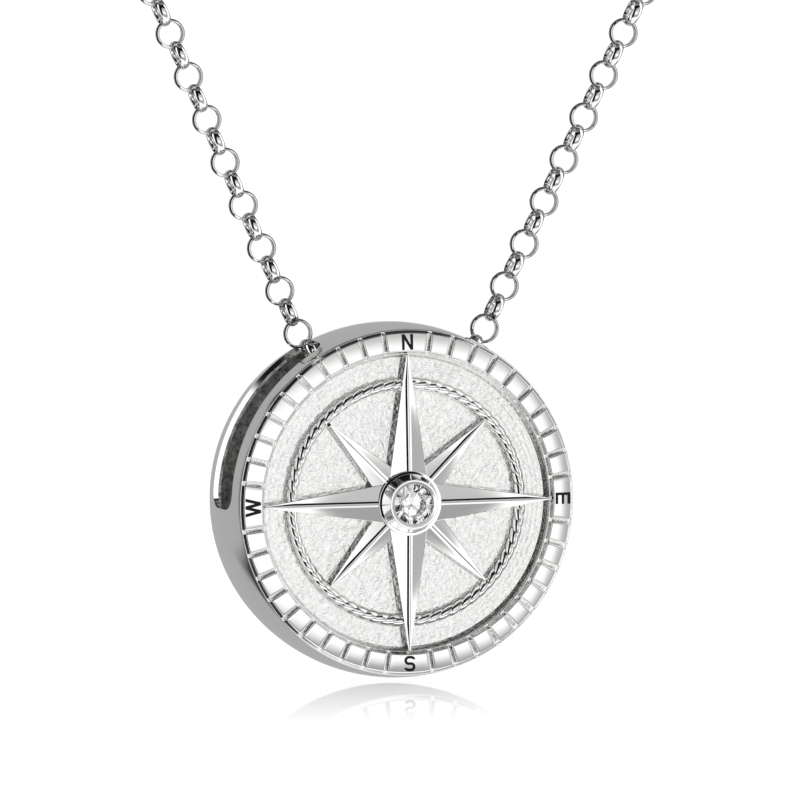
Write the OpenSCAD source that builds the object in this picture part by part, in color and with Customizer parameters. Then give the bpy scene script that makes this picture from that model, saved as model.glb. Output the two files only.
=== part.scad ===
// Compass pendant on a rolo chain.
// A hollow round slider pendant: the chain goes in through a long slot in one side of the
// case, under the top of the band and out through the matching slot. All sizes in millimetres.
// Each piece is drawn in the front view, with x to the right, y up and z towards the viewer,
// and hang() then stands it up with the middle of the case under the nape of the neck.

/* [Case] */
// Diameter of the case at its front edge
rim_d = 25.1; // [23:0.1:28]
// How far the side bulges out past the front edge
bulge = 0.42; // [0.1:0.02:0.5]
// Depth of the case from the front edge to the back
case_depth = 8.3; // [8:0.1:9.5]
// Thickness of the side band
wall = 0.5; // [0.4:0.05:0.8]
// Thickness of the back plate
back_t = 0.75; // [0.5:0.05:1.2]
// Width of the raised rim round the dial
rim_w = 1.8; // [1.65:0.05:2.2]

/* [Slots] */
// Width of each slot along the depth of the case
slot_w = 3.8; // [3.4:0.1:4.4]
// Front edge of the case to the near side of the slots
slot_margin = 1.9; // [1.8:0.05:2.3]
// Upper end of each slot, in degrees from 12 o'clock
slot_top = 26.5; // [25:0.5:31]
// Lower end of each slot, in degrees from 12 o'clock
slot_bottom = 94; // [80:1:105]
// Corner radius of the slots
slot_corner = 0.8; // [0.4:0.05:1.2]

/* [Dial] */
// Depth of the dial's floor below the front edge
dial_depth = 0.75; // [0.6:0.05:0.9]
// Thickness of the dial plate
plate_t = 0.5; // [0.3:0.05:0.6]
// Height of the pads on the rim
pad_h = 0.4; // [0.2:0.05:0.6]
// Ledge left on the rim beside each pad
pad_inset = 0.2; // [0.1:0.02:0.25]
// Gap between two pads
pad_gap = 0.34; // [0.2:0.02:0.5]
// Divisions of the rim in each quarter
quarter_pads = 11; // [8:1:14]
// Diameter of the rope ring along the middle of the rope
rope_ring_d = 17.3; // [16:0.1:18.5]
// Thickness of the rope
rope_d = 0.9; // [0.6:0.05:1]
// Strands that cross the top of the rope in each quarter
rope_turns = 16; // [10:1:20]

/* [Compass rose] */
// Half width of a long ray where it leaves the setting
long_ray_w = 1.32; // [1.1:0.02:1.5]
// Half width of a short ray where it leaves the setting
short_ray_w = 1.06; // [0.8:0.02:1.2]
// Half width of the blunt tip of each ray
tip_w = 0.08; // [0.04:0.01:0.12]
// Rise of the long rays' ridge above their edges, at the setting
ridge_h = 0.3; // [0.1:0.02:0.4]
// How much further each side of a ray reaches at its foot
ray_draft = 0.12; // [0.04:0.02:0.16]
// Drop of the short rays' edges below those of the long rays
short_drop = 0.16; // [0.06:0.02:0.3]

/* [Setting and stone] */
// Diameter of the setting at its foot
setting_d = 4.7; // [4.4:0.1:5.2]
// Height of the setting above the faces of the pads
setting_h = 1.45; // [1.3:0.05:1.7]
// Diameter of the stone
stone_d = 3.1; // [2.8:0.05:3.3]
// Width of the metal edge round the stone
edge_w = 0.28; // [0.15:0.01:0.35]

/* [Letters] */
// Height of the compass letters
letter_h = 1.14; // [0.8:0.02:1.15]
// Width of the compass letters
letter_w = 0.84; // [0.7:0.02:0.95]
// Stroke of the compass letters
stroke = 0.2; // [0.12:0.01:0.2]
// Depth of the pockets that hold the enamel
enamel_depth = 0.15; // [0.1:0.01:0.19]

/* [Chain] */
// Length of the whole loop with its clasp
chain_l = 400; // [380:5:415]
// Outer diameter of a link
link_d = 2.2; // [2.1:0.02:2.3]
// Thickness of a link's wire, measured from the middle of the link outwards
wire_t = 0.17; // [0.14:0.01:0.19]
// Width of a link's wire, along the axis of the link
wire_w = 0.68; // [0.5:0.02:0.72]
// Lean of the left side of the chain from upright, in degrees
lean_left = 23.2; // [15:0.2:32]
// Lean of the right side of the chain from upright, in degrees
lean_right = 26.7; // [15:0.2:32]
// Lean of the link that lies on the end of the slot, in degrees
lean_seat = 36; // [34:1:42]

/* [Clasp] */
// Outer diameter of the clasp's ring
clasp_d = 5.9; // [5.4:0.1:6.6]
// Thickness of the clasp's ring
clasp_t = 1.1; // [0.9:0.05:1.15]
// Outer diameter of the clasp's eye
eye_d = 2.5; // [2.4:0.05:2.8]
// Thickness of the clasp's eye
eye_t = 0.5; // [0.4:0.05:0.5]

/* [Hidden] */
$fn = 64;
silver = "silver";
matte_silver = "gainsboro";
// Cutters run this far past what they cut
past = 1;
// Round corners of a slot stop this far inside its flat sides
corner_step = 0.02;
// Gap between pieces that are set side by side
fit_gap = 0.03;
// Gap left between the links of the chain
link_gap = 0.16;
// Gap between the chain and the end of a slot
seat_gap = 0.25;

// Case, by radius and by height z in the front view. The chain runs at z = 0,
// through the middle of the slots.
rim_r = rim_d / 2;
case_r = rim_r + bulge;
lip_z = slot_margin + slot_w / 2;
back_z = lip_z - case_depth;
face_z = lip_z + pad_h;
bulge_r = (pow(case_depth / 2, 2) + pow(bulge, 2)) / (2 * bulge);
bulge_z = (lip_z + back_z) / 2;
rim_in_r = rim_r - rim_w;
floor_z = lip_z - dial_depth;
plate_z = floor_z - plate_t;
// The dial plate rests on a ledge inside the rim
ledge_w = 0.4;
ledge_t = 0.4;
// The rim is hollow behind, with this thickness of metal
rim_t = 0.6;

// Pads
pad_in_r = rim_in_r + pad_inset;
pad_out_r = rim_r - pad_inset;
pad_mid_r = (pad_in_r + pad_out_r) / 2;
pad_step = 90 / quarter_pads;

// Rope, in four lengths that stop at the long rays
rope_r = rope_ring_d / 2;
rope_z = floor_z + rope_d / 2 + fit_gap;
rope_sides = 8;
rope_rings_per_turn = 3;
// Depth of the grooves between the strands, as a share of the rope's radius
rope_groove = 0.26;

// Rose
setting_r = setting_d / 2;
// The rays start inside the hub
hub_r = 0.7 * setting_r;
ray_start_r = hub_r / 2;
long_tip_r = rim_in_r - fit_gap;
short_tip_r = rope_r - rope_d / 2 - fit_gap;
short_ridge_h = ridge_h * short_ray_w / long_ray_w;
// How far the rays and the hub run below the floor before they are cut off there
ray_sink = plate_t;
hub_sink = 0.7 * plate_t;

// Stone, with the shares of its diameter that a round brilliant has
stone_r = stone_d / 2;
table_share = 0.57;
crown_share = 0.145;
girdle_share = 0.03;
pavilion_share = 0.43;
setting_top_z = face_z + setting_h;
table_z = setting_top_z;
girdle_top_z = table_z - crown_share * stone_d;
girdle_low_z = girdle_top_z - girdle_share * stone_d;
culet_z = girdle_low_z - pavilion_share * stone_d;
// Facets of the stone: where the stars and the lower facets meet, as shares of height and radius
star_rise = 0.58;
low_rise = 0.25;
low_r_share = 0.28;
// The hub ends just under the stone's point, and the setting stands on it
culet_gap = 0.1;
hub_z = culet_z - culet_gap;
// Setting: the hole at its foot, its shoulder above the pads, and its thin sloping edge
setting_hole_r = 0.9;
shoulder_h = 0.55;
thin_edge_h = 0.25;
thin_edge_slope = 0.1;

// Links
link_r = link_d / 2;
hole_r = link_r - wire_t;
pitch = 2 * hole_r - link_gap;
// The wire is bevelled inside and outside, and each face falls back this much at its sides
wire_round = 0.05;

// One link lies along the end of each slot, and touches the inner corner of the band there
band_in_r = case_r - wall;
seat_off = wire_w / 2 + seat_gap;
seat_x = band_in_r * sin(slot_top) + seat_off * cos(lean_seat);
seat_y = band_in_r * cos(slot_top) - seat_off * sin(lean_seat);
out_x = seat_x + pitch * sin(lean_seat);
out_y = seat_y + pitch * cos(lean_seat);
in_x = seat_x - pitch * sin(lean_seat);
in_y = seat_y - pitch * cos(lean_seat);
in_steps = 2 * ceil(in_x / pitch);
in_pitch = 2 * in_x / in_steps;

// The loop outside the case: two straight sides and the arc that closes them.
// The two sides would meet at the point (meet_x, meet_y).
half_lean = (lean_left + lean_right) / 2;
side_l = 2 * out_x * cos(lean_right) / sin(lean_left + lean_right);
side_r = 2 * out_x * cos(lean_left) / sin(lean_left + lean_right);
meet_x = -out_x + side_l * sin(lean_left);
meet_y = out_y - side_l * cos(lean_left);

// Clasp, as a ring and an eye on the line of the chain
clasp_r = (clasp_d - clasp_t) / 2;
eye_r = (eye_d - eye_t) / 2;
eye_overlap = 0.35;
ring_to_eye = (clasp_d + eye_d) / 2 - eye_overlap;
// The corners of a link's wire come this much nearer to a round ring than its middle does
corner_gap = 0.085;
link_to_eye = eye_d / 2 - eye_t + hole_r - link_gap - corner_gap;
link_to_ring = clasp_r - clasp_t / 2 + hole_r - link_gap - corner_gap;
clasp_l = link_to_eye + ring_to_eye + link_to_ring;

inside_l = 2 * in_x + 4 * pitch;
steps = 2 * round((chain_l - inside_l - clasp_l) / (2 * pitch));
outside_l = steps * pitch + clasp_l;
arc_r = (outside_l + side_l + side_r)
    / (2 / tan(half_lean) + (180 + 2 * half_lean) * PI / 180);
arc_x = meet_x + arc_r / sin(half_lean) * sin((lean_right - lean_left) / 2);
arc_y = meet_y + arc_r / sin(half_lean) * cos((lean_right - lean_left) / 2);
straight_l = arc_r / tan(half_lean) - side_l;
arc_start = 180 + lean_left;
arc_l = arc_r * (180 + 2 * half_lean) * PI / 180;

// The nape is the point of the loop straight above the middle of the case
nape_angle = 90 + asin(arc_x / arc_r);
nape_y = arc_y + arc_r * sin(nape_angle);
nape_s = straight_l + arc_r * (arc_start - nape_angle) * PI / 180;
steps_left = 2 * round(((nape_s - clasp_l / 2) / pitch - 1) / 2) + 1;
steps_right = steps - steps_left;

// A point of the loop, by its way from the left side's first link
function on_arc(s) = arc_start - (s - straight_l) / arc_r * 180 / PI;
function loop_x(s) =
    s < straight_l ? -out_x - s * sin(lean_left)
    : s < straight_l + arc_l ? arc_x + arc_r * cos(on_arc(s))
    : out_x + (outside_l - s) * sin(lean_right);
function loop_y(s) =
    s < straight_l ? out_y + s * cos(lean_left)
    : s < straight_l + arc_l ? arc_y + arc_r * sin(on_arc(s))
    : out_y + (outside_l - s) * cos(lean_right);
function heading(s) =
    s < straight_l ? 90 + lean_left
    : s < straight_l + arc_l ? on_arc(s) - 90
    : -90 - lean_right;

clasp_from = steps_left * pitch;
clasp_to = outside_l - steps_right * pitch;
clasp_heading = atan2(loop_y(clasp_to) - loop_y(clasp_from),
    loop_x(clasp_to) - loop_x(clasp_from));

// Stands a piece drawn in the front view up, and hangs it under the nape
module hang() {
    rotate([90, 0, 0])
    translate([0, -nape_y, 0])
    children();
}

// Turns a piece drawn at 12 o'clock round the dial, clockwise
module at_clock(angle) {
    rotate([0, 0, -angle])
    children();
}

// Half section of the case: the barrel-shaped band, the back plate and the rim
module case_section() {
    difference() {
        intersection() {
            translate([case_r - bulge_r, bulge_z]) circle(bulge_r, $fn = 360);
            translate([0, back_z]) square([2 * case_r, case_depth]);
        }
        // Hollow
        intersection() {
            translate([case_r - bulge_r, bulge_z]) circle(bulge_r - wall, $fn = 360);
            translate([0, back_z + back_t]) square([2 * case_r, lip_z - rim_t - back_z - back_t]);
            difference() {
                square(4 * case_r, center = true);
                // Skirt inside the rim, with the ledge under the dial plate
                translate([rim_in_r - ledge_w, plate_z - ledge_t])
                square([ledge_w + wall, case_depth]);
            }
        }
        // Well of the dial, and its opening inside the ledge
        translate([0, plate_z]) square([rim_in_r, case_depth]);
        translate([0, plate_z - ledge_t - past]) square([rim_in_r - ledge_w, case_depth]);
    }
}

// One slot, on the right side: a sector with rounded corners, each cut a step inside its sides
module slot_cutter() {
    corner_angle = asin(slot_corner / case_r);
    side = slot_w / 2 - slot_corner;
    module sector(from, to, half) {
        rotate([0, 0, 90 - to])
        rotate_extrude(angle = to - from)
        translate([case_r - wall - past, -half])
        square([wall + 2 * past, 2 * half]);
    }
    sector(slot_top + corner_angle, slot_bottom - corner_angle, slot_w / 2);
    sector(slot_top, slot_bottom, side);
    for (end = [slot_top + corner_angle, slot_bottom - corner_angle])
        for (z = [-side, side])
            at_clock(end)
            translate([0, case_r - wall - past / 2, z])
            rotate([-90, 0, 0])
            cylinder(r = slot_corner - corner_step, h = wall + past);
}

// Pads of the rim. The four that carry a letter are twice as wide.
module pads() {
    difference() {
        rotate_extrude()
        translate([pad_in_r, lip_z - fit_gap])
        square([pad_out_r - pad_in_r, pad_h + fit_gap]);
        for (i = [0 : 4 * quarter_pads - 1])
            if (i % quarter_pads != 0)
                at_clock(i * pad_step)
                translate([-pad_gap / 2, rim_in_r - past, lip_z])
                cube([pad_gap, rim_w + 2 * past, pad_h + past]);
    }
}

// One outline: two stems, and a diagonal that meets each of them over a height of its own
module outline_n() {
    edge = letter_w / 2;
    top = letter_h / 2;
    stem = edge - stroke;
    meet = top - 2 * stroke;
    polygon([[-edge, -top], [-stem, -top], [-stem, meet], [stem, -top], [edge, -top],
        [edge, top], [stem, top], [stem, -meet], [-stem, top], [-edge, top]]);
}

module outline_e() {
    edge = letter_w / 2;
    top = letter_h / 2;
    translate([-edge, -top]) square([stroke, letter_h]);
    for (y = [-top, -stroke / 2, top - stroke])
        translate([-edge, y]) square([letter_w, stroke]);
}

// One outline: four slanted strokes that meet in three points, wider than the other letters
module outline_w() {
    spread = 1.6;
    slant = 1.15;
    half = stroke * slant / 2;
    edge = letter_w * spread / 2 - half;
    foot = edge / 2;
    top = letter_h / 2;
    fork = top - 4 * top * half / edge;
    polygon([[-edge - half, top], [-foot - half, -top], [-foot + half, -top], [0, fork],
        [foot - half, -top], [foot + half, -top], [edge + half, top], [edge - half, top],
        [foot, -fork], [half, top], [-half, top], [-foot, -fork], [-edge + half, top]]);
}

// Two bowls joined by straight strokes, open at the upper right and the lower left
module outline_s() {
    bowl = (letter_h + stroke) / 4;
    flat = letter_w / 2 - bowl;
    top = letter_h / 2;
    for (turn = [0, 180])
        rotate(turn) {
            translate([-flat, top - bowl])
            intersection() {
                difference() {
                    circle(bowl);
                    circle(bowl - stroke);
                }
                translate([-2 * bowl, -2 * bowl]) square([2 * bowl, 4 * bowl]);
            }
            translate([flat, top - bowl])
            intersection() {
                difference() {
                    circle(bowl);
                    circle(bowl - stroke);
                }
                translate([0, bowl / 5]) square(2 * bowl);
            }
            translate([-flat, top - stroke]) square([2 * flat, stroke]);
        }
    translate([-flat, -stroke / 2]) square([2 * flat, stroke]);
}

// Places a letter on its pad, with its top outwards
module on_pad(clock, low_z, height) {
    at_clock(clock)
    translate([0, pad_mid_r, low_z])
    linear_extrude(height)
    children();
}

module letter_pockets() {
    low_z = face_z - enamel_depth;
    on_pad(0, low_z, past) outline_n();
    on_pad(90, low_z, past) outline_e();
    on_pad(180, low_z, past) outline_s();
    on_pad(270, low_z, past) outline_w();
}

// Enamel, a little below the face of its pad
module enamel(clock) {
    color("black")
    hang()
    on_pad(clock, face_z - enamel_depth, enamel_depth - fit_gap)
    children();
}

module case() {
    color(silver)
    hang()
    difference() {
        union() {
            rotate_extrude() case_section();
            pads();
        }
        slot_cutter();
        mirror([1, 0, 0]) slot_cutter();
        letter_pockets();
    }
}

module dial_plate() {
    color(matte_silver)
    hang()
    translate([0, 0, plate_z])
    cylinder(r = rim_in_r - fit_gap, h = plate_t);
}

// Two twisted strands, as one section with two lobes that turns as it goes round
module rope_length() {
    ray_side = tip_w + (long_ray_w - tip_w) * (long_tip_r - rope_r) / (long_tip_r - setting_r);
    start = asin((ray_side + ray_draft + rope_d / 4) / rope_r);
    count = rope_turns * rope_rings_per_turn;
    lobe = function(angle) rope_d / 2 * (1 - rope_groove + rope_groove * cos(2 * angle));
    points = [
        for (i = [0 : count])
            let (clock = start + (90 - 2 * start) * i / count)
            for (k = [0 : rope_sides - 1])
                let (angle = 360 * k / rope_sides, r = lobe(angle - 180 * i / rope_rings_per_turn))
                [(rope_r + r * cos(angle)) * sin(clock), (rope_r + r * cos(angle)) * cos(clock),
                    rope_z + r * sin(angle)]
    ];
    sides = [
        for (i = [0 : count - 1])
            for (k = [0 : rope_sides - 1])
                let (next = (k + 1) % rope_sides, a = i * rope_sides, b = a + rope_sides)
                each [[b + next, a + next, a + k], [b + k, b + next, a + k]]
    ];
    ends = [
        [for (k = [0 : rope_sides - 1]) k],
        [for (k = [rope_sides - 1 : -1 : 0]) count * rope_sides + k]
    ];
    polyhedron(points, concat(sides, ends));
}

module rope_ring() {
    color(silver)
    hang()
    for (quarter = [0 : 90 : 270])
        at_clock(quarter) rope_length();
}

// One blade of the rose, from inside the hub to its tip: steep sides and a ridge.
// Its half width and its ridge are given where it leaves the setting.
module ray(tip_r, half_w, edge_z, rise) {
    spread = (tip_r - ray_start_r) / (tip_r - setting_r);
    root_w = tip_w + (half_w - tip_w) * spread;
    root_z = edge_z + rise * spread;
    foot_w = root_w + ray_draft;
    foot_tip_w = tip_w + ray_draft;
    foot_z = floor_z - ray_sink;
    polyhedron(
        [[-foot_w, ray_start_r, foot_z], [foot_w, ray_start_r, foot_z],
            [foot_tip_w, tip_r, foot_z], [-foot_tip_w, tip_r, foot_z],
            [-root_w, ray_start_r, edge_z], [root_w, ray_start_r, edge_z],
            [tip_w, tip_r, edge_z], [-tip_w, tip_r, edge_z], [0, ray_start_r, root_z]],
        [[0, 1, 2, 3], [0, 4, 8, 5, 1], [1, 5, 6, 2], [2, 6, 7, 3], [3, 7, 4, 0],
            [4, 7, 8], [8, 7, 6], [8, 6, 5]]
    );
}

// The rays run a little below the floor of the dial and are cut off there in one plane
module compass_rose() {
    color(silver)
    hang()
    difference() {
        union() {
            for (quarter = [0 : 90 : 270]) {
                at_clock(quarter) ray(long_tip_r, long_ray_w, face_z, ridge_h);
                at_clock(quarter + 45)
                    ray(short_tip_r, short_ray_w, face_z - short_drop, short_ridge_h);
            }
            translate([0, 0, floor_z - hub_sink]) cylinder(r = hub_r, h = hub_z - floor_z + plate_t);
        }
        translate([0, 0, hub_z]) cylinder(r = setting_r + fit_gap, h = setting_h + dial_depth);
        translate([-rim_r, -rim_r, floor_z - 2 * plate_t]) cube([2 * rim_r, 2 * rim_r, 2 * plate_t]);
    }
}

// Half section of the setting: a foot, a sloping shoulder and a thin edge round the stone
module setting_section() {
    shoulder_z = face_z + shoulder_h;
    edge_r = stone_r + fit_gap + edge_w;
    difference() {
        polygon([[setting_hole_r, hub_z], [setting_r, hub_z], [setting_r, shoulder_z],
            [edge_r + thin_edge_slope, setting_top_z - thin_edge_h], [edge_r, setting_top_z],
            [setting_hole_r, setting_top_z]]);
        // Seat that follows the stone
        polygon([[0, culet_z - 2 * fit_gap], [0, setting_top_z + past],
            [stone_r + fit_gap, setting_top_z + past], [stone_r + fit_gap, girdle_low_z - fit_gap]]);
    }
}

module setting() {
    color(silver)
    hang()
    rotate_extrude() setting_section();
}

// Round brilliant: a table with 8 sides, stars, kites, a thin girdle and the pavilion
module stone() {
    round_ring = function(count, r, z, turn)
        [for (i = [0 : count - 1]) let (a = 360 * i / count + turn) [r * cos(a), r * sin(a), z]];
    star_r = (stone_r + table_share * stone_r) / 2;
    star_z = girdle_top_z + (table_z - girdle_top_z) * star_rise;
    low_r = stone_r * low_r_share;
    low_z = culet_z + (girdle_low_z - culet_z) * low_rise;
    points = concat(
        round_ring(8, table_share * stone_r, table_z, 22.5),
        round_ring(8, star_r, star_z, 0),
        round_ring(16, stone_r, girdle_top_z, 0),
        round_ring(16, stone_r, girdle_low_z, 0),
        round_ring(8, low_r, low_z, 22.5),
        [[0, 0, culet_z]]
    );
    table = 0;
    star = 8;
    upper = 16;
    lower = 32;
    low = 48;
    culet = 56;
    crown = [
        for (i = [0 : 7])
            let (n = (i + 1) % 8, p = (i + 7) % 8, g = 2 * i)
            each [
                [table + i, star + i, table + p],
                [upper + g + 1, star + i, table + i],
                [star + n, upper + g + 1, table + i],
                [upper + g + 1, upper + g, star + i],
                [upper + g, upper + (g + 15) % 16, star + i]
            ]
    ];
    girdle = [
        for (g = [0 : 15])
            let (n = (g + 1) % 16)
            [upper + n, lower + n, lower + g, upper + g]
    ];
    pavilion = [
        for (i = [0 : 7])
            let (p = (i + 7) % 8, g = 2 * i)
            each [
                [lower + g + 1, low + i, lower + g],
                [lower + g, low + p, lower + (g + 15) % 16],
                [low + i, low + p, lower + g],
                [low + i, culet, low + p]
            ]
    ];
    color("white")
    hang()
    polyhedron(points, concat([[for (i = [7 : -1 : 0]) table + i]], crown, girdle, pavilion));
}

module letter_n() { enamel(0) outline_n(); }
module letter_e() { enamel(90) outline_e(); }
module letter_s() { enamel(180) outline_s(); }
module letter_w() { enamel(270) outline_w(); }

// Ring of one link, in the plane of the front view
module link() {
    half = wire_w / 2;
    rotate_extrude()
    polygon([[hole_r + wire_round, -half], [link_r - wire_round, -half], [link_r, -half / 2],
        [link_r, half / 2], [link_r - wire_round, half], [hole_r + wire_round, half],
        [hole_r, half / 2], [hole_r, -half / 2]]);
}

// A link at a point of the chain. Every second one is turned a quarter about the chain.
module link_at(x, y, direction, quarter) {
    translate([x, y, 0])
    rotate([0, 0, direction])
    rotate([quarter * 90, 0, 0])
    link();
}

module chain() {
    color(silver)
    hang() {
        for (i = [0 : steps_left])
            link_at(loop_x(i * pitch), loop_y(i * pitch), heading(i * pitch), i % 2);
        for (i = [0 : steps_right])
            let (s = outside_l - i * pitch)
            link_at(loop_x(s), loop_y(s), heading(s), i % 2);
        for (side = [-1, 1])
            link_at(side * seat_x, seat_y, side * (90 - lean_seat), 1);
        for (i = [0 : in_steps])
            link_at(-in_x + i * in_pitch, in_y, 0, i % 2);
    }
}

// Closed spring ring with its eye, drawn along x from the last link on the left
module clasp() {
    color(silver)
    hang()
    translate([loop_x(clasp_from), loop_y(clasp_from), 0])
    rotate([0, 0, clasp_heading]) {
        translate([link_to_eye, 0, 0])
        rotate_extrude() translate([eye_r, 0]) circle(eye_t / 2);
        translate([link_to_eye + ring_to_eye, 0, 0])
        rotate_extrude() translate([clasp_r, 0]) circle(clasp_t / 2);
    }
}

case();
dial_plate();
rope_ring();
compass_rose();
setting();
stone();
letter_n();
letter_e();
letter_s();
letter_w();
chain();
clasp();
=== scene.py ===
import math

import bmesh
import bpy
import numpy as np
from bpy.props import FloatProperty, FloatVectorProperty, IntProperty, PointerProperty
from mathutils import Matrix, Vector, noise


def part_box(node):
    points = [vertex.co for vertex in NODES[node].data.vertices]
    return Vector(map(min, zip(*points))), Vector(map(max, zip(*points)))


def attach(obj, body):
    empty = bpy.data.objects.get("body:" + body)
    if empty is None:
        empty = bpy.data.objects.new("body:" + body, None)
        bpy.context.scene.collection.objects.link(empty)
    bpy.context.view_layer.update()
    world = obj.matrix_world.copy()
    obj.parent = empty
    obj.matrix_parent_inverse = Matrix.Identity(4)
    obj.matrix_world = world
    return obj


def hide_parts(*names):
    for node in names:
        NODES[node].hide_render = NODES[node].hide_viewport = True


bl_info = {
    "name": "Compass pendant",
    "version": (1, 0, 0),
    "blender": (4, 5, 0),
    "location": "View3D > Sidebar > Pendant",
    "description": "Builds the looks of a compass pendant on a rolo chain",
    "category": "Add Mesh",
}

MM = 0.001
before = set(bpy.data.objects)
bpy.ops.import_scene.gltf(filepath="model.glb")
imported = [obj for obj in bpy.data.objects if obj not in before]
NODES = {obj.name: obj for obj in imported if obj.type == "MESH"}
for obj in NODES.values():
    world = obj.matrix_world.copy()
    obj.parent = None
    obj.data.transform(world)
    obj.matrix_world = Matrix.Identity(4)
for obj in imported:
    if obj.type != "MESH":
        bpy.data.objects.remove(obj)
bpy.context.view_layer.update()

# The pendant is drawn as seen from the front: x to the right, y up and z towards the viewer,
# from the middle of the case at the plane of the chain.
CASE_LOW, CASE_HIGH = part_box("case")
CASE_R = (CASE_HIGH[2] - CASE_LOW[2]) / 2
CENTRE_Z = (CASE_HIGH[2] + CASE_LOW[2]) / 2
FACE_Z = -CASE_LOW[1]
BACK_Z = -CASE_HIGH[1]
FLOOR_Z = -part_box("dial_plate")[0][1]
WELL_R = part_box("dial_plate")[1][0]
ROPE_LOW, ROPE_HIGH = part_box("rope_ring")
ROPE_TOP_Z = -ROPE_LOW[1]
SETTING_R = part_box("setting")[1][0]
SETTING_TOP_Z = -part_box("setting")[0][1]
STONE_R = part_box("stone")[1][0]
LETTERS = ("letter_n", "letter_e", "letter_s", "letter_w")

# What stands on another piece reaches this far into it
SINK = 0.02 * MM


def to_linear(hex_colour):
    """An sRGB hex colour as linear red, green and blue."""
    parts = [int(hex_colour[i:i + 2], 16) / 255 for i in (1, 3, 5)]
    return tuple(c / 12.92 if c <= 0.04045 else ((c + 0.055) / 1.055) ** 2.4 for c in parts)


def length(label, words, value):
    """A length, with its default in millimetres."""
    return FloatProperty(name=label, description=words, default=value * MM, min=0.0,
                         precision=5, unit="LENGTH")


def angle(label, words, degrees):
    return FloatProperty(name=label, description=words, default=math.radians(degrees),
                         subtype="ANGLE")


def count(label, words, value, least):
    return IntProperty(name=label, description=words, default=value, min=least)


def colour(label, words, hex_colour):
    return FloatVectorProperty(name=label, description=words, subtype="COLOR", size=3,
                               min=0.0, max=1.0, default=to_linear(hex_colour))


class PendantSizes(bpy.types.PropertyGroup):
    """Sizes that the frame doesn't give."""

    pad_height: length("Pad height", "Height of the pads above the rim's ledge", 0.4)
    pad_gap: length("Pad gap", "Groove between two pads", 0.27)
    pad_inset: length("Pad inset", "Ledge left beside each pad", 0.2)
    quarter_pads: count("Pads", "Divisions of the rim in each quarter", 11, 4)
    rim_width: length("Rim width", "Width of the rim round the dial", 1.8)
    wall: length("Wall", "Thickness of the side band", 0.5)
    back: length("Back", "Thickness of the back plate", 0.75)
    bulge: length("Bulge", "How far the band bulges past its front edge", 0.42)
    slot_width: length("Slot width", "Width of each side slot", 3.8)
    slot_corner: length("Slot corner", "Corner radius of the side slots", 1.2)
    slot_forward: length("Slot forward", "How much nearer the rim the slots' front sides are", 0.45)
    slot_top: angle("Slot top", "Upper end of the slots from 12 o'clock", 26.5)
    slot_bottom: angle("Slot bottom", "Lower end of the slots from 12 o'clock", 91.5)
    rope_width: length("Rope width", "Width of the twisted rope", 0.94)
    rope_beads: count("Rope beads", "Strands that cross the top of the rope", 64, 16)
    long_ray: length("Long ray", "Half width of a long ray at the setting", 1.32)
    long_rise: length("Long rise", "Rise of a long ray's ridge at the setting", 0.3)
    short_ray: length("Short ray", "Half width of a short ray at the setting", 1.06)
    short_rise: length("Short rise", "Rise of a short ray's ridge at the setting", 0.24)
    short_drop: length("Short drop", "Drop of the short rays' edges below the long ones'", 0.16)
    ray_draft: length("Ray draft", "How much wider a ray is at its foot", 0.12)
    wire_width: length("Wire width", "Width of a link's wire", 0.68)
    link_diameter: length("Link diameter", "Outer diameter of a link", 2.2)
    link_hole: length("Link hole", "Inner diameter of a link", 1.72)


class PendantColours(bpy.types.PropertyGroup):
    """Colours of the metals, the enamel, the stone and the floor."""

    silver: colour("Silver", "Rhodium plated silver, polished", "#EEEEED")
    satin: colour("Satin silver", "Stippled floor of the dial", "#F6F6F5")
    inside: colour("Cast silver", "Unpolished inside of the case", "#F2F1EE")
    tarnish: colour("Tarnish", "Dark skin in the hollows of the cast silver", "#3A3A3C")
    enamel: colour("Enamel", "Black enamel of the letters", "#0A0A0B")
    stone: colour("Stone", "Clear cut stone", "#FFFFFF")
    floor: colour("Floor", "Pale studio floor, beside the light that comes through it", "#8C8C8C")


def sizes():
    return bpy.context.scene.pendant_sizes


def colours():
    return bpy.context.scene.pendant_colours


# Meshes

def stand(point):
    """A point of the front view, in the frame of the part."""
    x, y, z = point
    return (x, -z, y + CENTRE_Z)


def on_dial(r, clock, z):
    """A point of the front view by its radius and its angle clockwise from 12 o'clock."""
    return (r * math.sin(clock), r * math.cos(clock), z)


def turn(point, clock):
    """Turns a point of the front view clockwise round the dial."""
    x, y, z = point
    c, s = math.cos(clock), math.sin(clock)
    return (x * c + y * s, y * c - x * s, z)


def new_mesh(name, points, faces):
    """A mesh from points in the frame of the part."""
    mesh = bpy.data.meshes.new(name)
    mesh.from_pydata(points, [], faces)
    return mesh


def turn_outwards(mesh, merged=0.0):
    """Turns the faces of a mesh outwards, once points nearer than this are merged."""
    loose = bmesh.new()
    loose.from_mesh(mesh)
    if merged:
        bmesh.ops.remove_doubles(loose, verts=loose.verts, dist=merged)
    bmesh.ops.recalc_face_normals(loose, faces=loose.faces)
    loose.to_mesh(mesh)
    loose.free()


def add_object(name, data):
    item = bpy.data.objects.new(name, data)
    bpy.context.collection.objects.link(item)
    return item


def dress(name, mesh, slot, crease, replaced=(), body="pendant"):
    """A piece from a mesh, smooth up to an angle in degrees, which rides on a body."""
    mesh.validate()
    turn_outwards(mesh)
    mesh.shade_smooth()
    mesh.set_sharp_from_angle(angle=math.radians(crease))
    mesh.materials.append(material_of(SLOTS[slot]))
    piece = add_object(name, mesh)
    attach(piece, body)
    if replaced:
        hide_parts(*replaced)
    return piece


def make_piece(name, shape, slot, crease, replaced=()):
    """A piece of the pendant from points of the front view and their faces."""
    points, faces = shape
    return dress(name, new_mesh(name, [stand(p) for p in points], faces), slot, crease, replaced)


def paint(node, slot):
    """Gives a solid of the frame its material."""
    piece = NODES[node]
    piece.data.materials.clear()
    piece.data.materials.append(material_of(SLOTS[slot]))


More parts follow.
